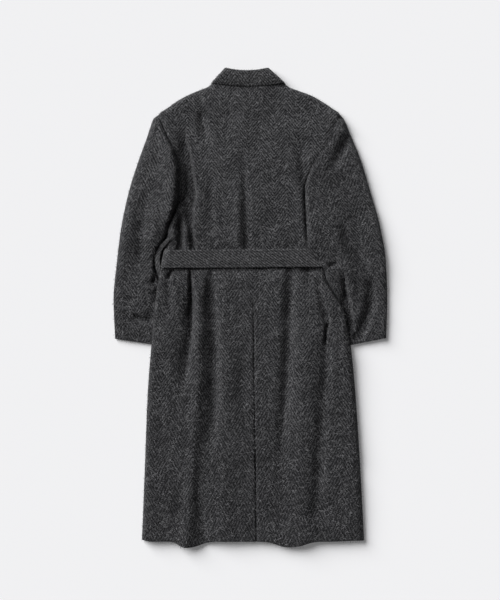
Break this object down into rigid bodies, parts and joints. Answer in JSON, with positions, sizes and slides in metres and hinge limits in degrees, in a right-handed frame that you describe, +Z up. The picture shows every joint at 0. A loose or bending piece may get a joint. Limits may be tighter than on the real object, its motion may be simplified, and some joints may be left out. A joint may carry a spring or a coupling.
{
  "type": "belted overcoat",
  "caption": "Long belted overcoat in charcoal herringbone wool, laid face down: turned-down collar, set-in sleeves, back seam and vent, self-cloth belt in loops.",
  "frame": {"origin": "middle of the coat's outline, on the surface it lies on", "axes": "+Y from hem to collar, +X to the right when looking down on the back, +Z up from the surface"},
  "size_m": [0.7106, 1.2445, 0.0369],
  "materials": {
    "tweed": "hairy wool herringbone",
    "collar_tweed": "hairy wool herringbone",
    "belt_tweed": "hairy wool herringbone"
  },
  "bodies": {
    "root": {"back_left": "tweed", "back_right": "tweed", "front_left": "tweed", "front_right": "tweed", "sleeve_left_top": "tweed", "sleeve_left_under": "tweed", "sleeve_right_top": "tweed", "sleeve_right_under": "tweed", "vent_underlap": "tweed", "collar": "collar_tweed", "belt": "belt_tweed", "belt_loop_left": "belt_tweed", "belt_loop_right": "belt_tweed"}
  },
  "joints": []
}
